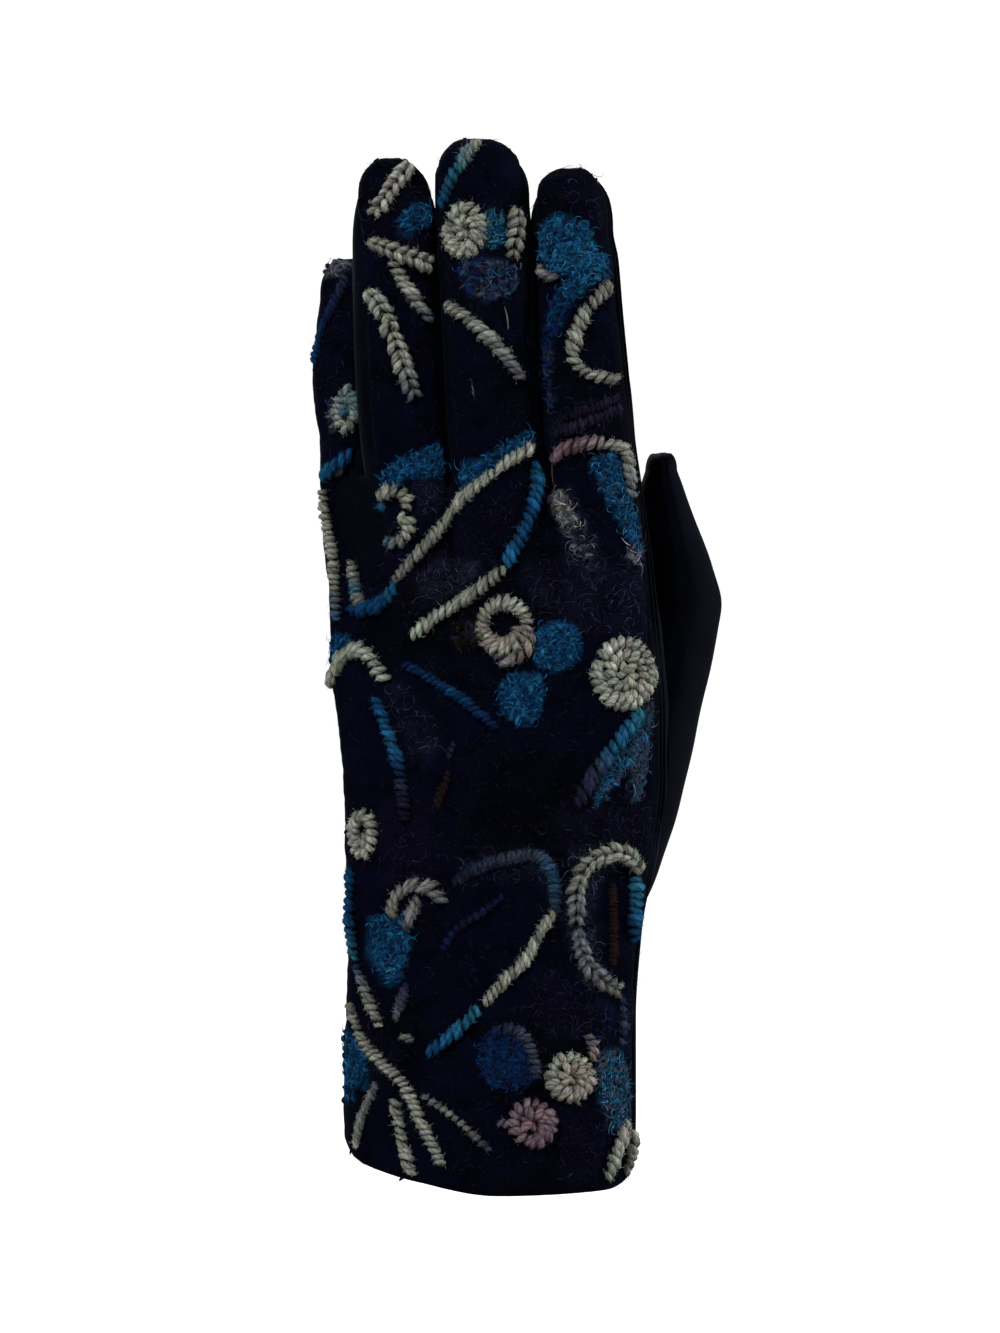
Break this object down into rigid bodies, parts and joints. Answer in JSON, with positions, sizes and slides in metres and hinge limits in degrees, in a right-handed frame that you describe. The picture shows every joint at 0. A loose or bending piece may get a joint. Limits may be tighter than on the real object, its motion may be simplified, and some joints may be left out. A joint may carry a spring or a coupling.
{
  "type": "embroidered dress glove for the left hand",
  "caption": "Lady's dress glove with a thick embroidered wool back, a black velour palm, thumb and side strips, and an open wrist, standing full as when worn.",
  "frame": {"origin": "middle of the wrist opening, level with the lowest point of the hem", "axes": "+Z from the cuff to the fingertips, +X to the thumb side, +Y to the palm, -Y to the embroidered back of the hand"},
  "size_m": [0.0964, 0.0509, 0.2454],
  "materials": {
    "wool": "matte, felted, with raised yarn embroidery in blue, teal, cream, grey and purple",
    "velour": "short soft nap with a faint sheen"
  },
  "bodies": {
    "root": {"back_panel": "wool", "palm_panel": "velour", "thumb": "velour", "fourchette_little_ring": "velour", "fourchette_ring_middle": "velour", "fourchette_middle_index": "velour"}
  },
  "joints": []
}
